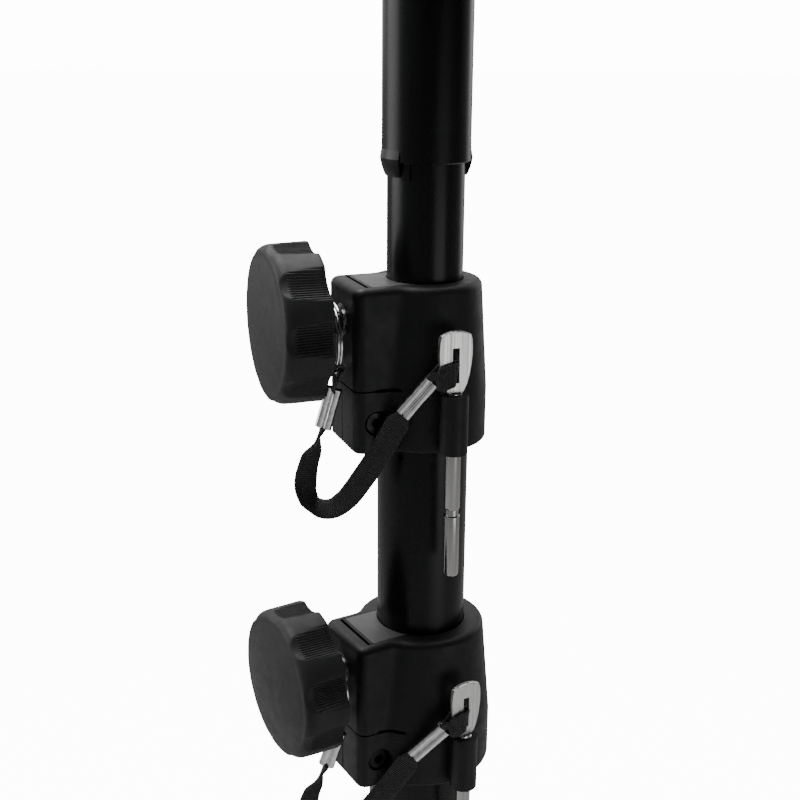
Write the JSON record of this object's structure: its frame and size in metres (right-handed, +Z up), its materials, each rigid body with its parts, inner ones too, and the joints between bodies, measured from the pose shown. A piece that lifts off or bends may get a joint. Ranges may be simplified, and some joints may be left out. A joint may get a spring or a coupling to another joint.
{
  "type": "speaker tripod stand",
  "caption": "Telescoping loudspeaker stand: round tubes with clamp collars, star knobs and tethered lock pins on a folding tripod of tube legs and flat braces.",
  "frame": {"origin": "on the floor, on the mast's axis, with the legs open", "axes": "+Z up the mast; -Y towards leg 1; the two mast clamps' knobs point to about -X"},
  "size_m": [0.9622, 0.8378, 1.3],
  "materials": {
    "black_tube": "satin black powder coat",
    "collar_plastic": "dark grey moulded, satin",
    "knob_plastic": "grey-black moulded, fine grain",
    "block_plastic": "mid grey moulded",
    "bush_nylon": "natural nylon",
    "black_steel": "blackened steel",
    "nickel": "satin nickel",
    "bright_steel": "bright plated",
    "zinc": "zinc plated",
    "webbing": "woven black webbing",
    "rubber": "black rubber"
  },
  "bodies": {
    "lower_mast": {"lower_tube": "black_tube", "lower_tube_plug": "collar_plastic", "lower_guide_bush": "bush_nylon", "lower_collar": "collar_plastic", "lower_collar_bolt": "black_steel", "lower_collar_nut": "zinc", "lower_clamp_insert": "zinc", "lower_split_ring": "bright_steel", "lower_ring_ferrule": "bright_steel", "lower_strap": "webbing", "brace_hub": "collar_plastic", "brace_pivot_bolts": "zinc"},
    "middle_mast": {"middle_tube": "black_tube", "middle_glide": "bush_nylon", "upper_guide_bush": "bush_nylon", "upper_collar": "collar_plastic", "upper_collar_bolt": "black_steel", "upper_collar_nut": "zinc", "upper_clamp_insert": "zinc", "upper_split_ring": "bright_steel", "upper_ring_ferrule": "bright_steel", "upper_strap": "webbing"},
    "upper_mast": {"upper_tube": "black_tube", "upper_glide": "bush_nylon", "adapter_sleeve": "black_tube", "sleeve_cap": "collar_plastic"},
    "crown": {"crown_housing": "collar_plastic", "crown_clamp_insert": "zinc", "leg_pivot_bolts": "zinc"},
    "upper_clamp": {"upper_clamp_block": "block_plastic", "upper_pressure_plate": "black_steel"},
    "upper_knob": {"upper_clamp_knob": "knob_plastic", "upper_clamp_screw": "zinc"},
    "lower_clamp": {"lower_clamp_block": "block_plastic", "lower_pressure_plate": "black_steel"},
    "lower_knob": {"lower_clamp_knob": "knob_plastic", "lower_clamp_screw": "zinc"},
    "crown_clamp": {"crown_clamp_block": "block_plastic", "crown_pressure_plate": "black_steel"},
    "crown_knob": {"crown_clamp_knob": "knob_plastic", "crown_clamp_screw": "zinc"},
    "upper_pin": {"upper_lock_pin": "nickel", "upper_pin_ferrule": "bright_steel"},
    "lower_pin": {"lower_lock_pin": "nickel", "lower_pin_ferrule": "bright_steel"},
    "leg_1": {"leg_tube_1": "black_tube", "leg_head_1": "collar_plastic", "foot_1": "rubber"},
    "brace_1": {"brace_1": "black_tube", "brace_rivets_1": "zinc"},
    "leg_2": {"leg_tube_2": "black_tube", "leg_head_2": "collar_plastic", "foot_2": "rubber"},
    "brace_2": {"brace_2": "black_tube", "brace_rivets_2": "zinc"},
    "leg_3": {"leg_tube_3": "black_tube", "leg_head_3": "collar_plastic", "foot_3": "rubber"},
    "brace_3": {"brace_3": "black_tube", "brace_rivets_3": "zinc"}
  },
  "joints": [
    {"name": "middle_slide", "type": "slide", "parent": "lower_mast", "child": "middle_mast", "axis": [0, 0, 1], "range_m": [-0.02, 0.5]},
    {"name": "upper_slide", "type": "slide", "parent": "middle_mast", "child": "upper_mast", "axis": [0, 0, 1], "range_m": [-0.039, 0.55]},
    {"name": "crown_slide", "type": "slide", "parent": "lower_mast", "child": "crown", "axis": [0, 0, 1], "range_m": [0, 0.16189]},
    {"name": "upper_clamp_release", "type": "slide", "parent": "middle_mast", "child": "upper_clamp", "axis": [-0.9304, -0.3665, 0], "range_m": [0, 0.00094]},
    {"name": "upper_knob_turn", "type": "hinge", "parent": "upper_clamp", "child": "upper_knob", "pos_m": [0, 0, 1.1363], "axis": [-0.9304, -0.3665, 0], "range_deg": [0, 270]},
    {"name": "lower_clamp_release", "type": "slide", "parent": "lower_mast", "child": "lower_clamp", "axis": [-0.8616, -0.5075, 0], "range_m": [0, 0.00094]},
    {"name": "lower_knob_turn", "type": "hinge", "parent": "lower_clamp", "child": "lower_knob", "pos_m": [0, 0, 0.9853], "axis": [-0.8616, -0.5075, 0], "range_deg": [0, 270]},
    {"name": "crown_clamp_release", "type": "slide", "parent": "crown", "child": "crown_clamp", "axis": [-0.866, -0.5, 0], "range_m": [0, 0.00094]},
    {"name": "crown_knob_turn", "type": "hinge", "parent": "crown_clamp", "child": "crown_knob", "pos_m": [0, 0, 0.5392], "axis": [-0.866, -0.5, 0], "range_deg": [0, 270]},
    {"name": "upper_pin_lift", "type": "slide", "parent": "middle_mast", "child": "upper_pin", "axis": [0, 0, 1], "range_m": [0, 0.078]},
    {"name": "lower_pin_lift", "type": "slide", "parent": "lower_mast", "child": "lower_pin", "axis": [0, 0, 1], "range_m": [0, 0.066]},
    {"name": "leg_1_fold", "type": "hinge", "parent": "crown", "child": "leg_1", "pos_m": [0, -0.048, 0.5019], "axis": [1, 0, 0], "range_deg": [0, 40]},
    {"name": "brace_1_fold", "type": "hinge", "parent": "lower_mast", "child": "brace_1", "pos_m": [0, -0.048, 0.10593], "axis": [-1, 0, 0], "range_deg": [0, 40]},
    {"name": "leg_2_fold", "type": "hinge", "parent": "crown", "child": "leg_2", "pos_m": [0.04157, 0.024, 0.5019], "axis": [-0.5, 0.866, 0], "range_deg": [0, 40]},
    {"name": "brace_2_fold", "type": "hinge", "parent": "lower_mast", "child": "brace_2", "pos_m": [0.04157, 0.024, 0.10593], "axis": [0.5, -0.866, 0], "range_deg": [0, 40]},
    {"name": "leg_3_fold", "type": "hinge", "parent": "crown", "child": "leg_3", "pos_m": [-0.04157, 0.024, 0.5019], "axis": [-0.5, -0.866, 0], "range_deg": [0, 40]},
    {"name": "brace_3_fold", "type": "hinge", "parent": "lower_mast", "child": "brace_3", "pos_m": [-0.04157, 0.024, 0.10593], "axis": [0.5, 0.866, 0], "range_deg": [0, 40]}
  ],
  "couplings": [
    {"joint": "upper_clamp_release", "follows": "upper_knob_turn", "m_per_rad": 0.00019894},
    {"joint": "lower_clamp_release", "follows": "lower_knob_turn", "m_per_rad": 0.00019894},
    {"joint": "crown_clamp_release", "follows": "crown_knob_turn", "m_per_rad": 0.00019894},
    {"joint": "leg_1_fold", "follows": "crown_slide", "rad_per_m": 4.3124},
    {"joint": "brace_1_fold", "follows": "crown_slide", "rad_per_m": 4.3124},
    {"joint": "leg_2_fold", "follows": "crown_slide", "rad_per_m": 4.3124},
    {"joint": "brace_2_fold", "follows": "crown_slide", "rad_per_m": 4.3124},
    {"joint": "leg_3_fold", "follows": "crown_slide", "rad_per_m": 4.3124},
    {"joint": "brace_3_fold", "follows": "crown_slide", "rad_per_m": 4.3124}
  ]
}
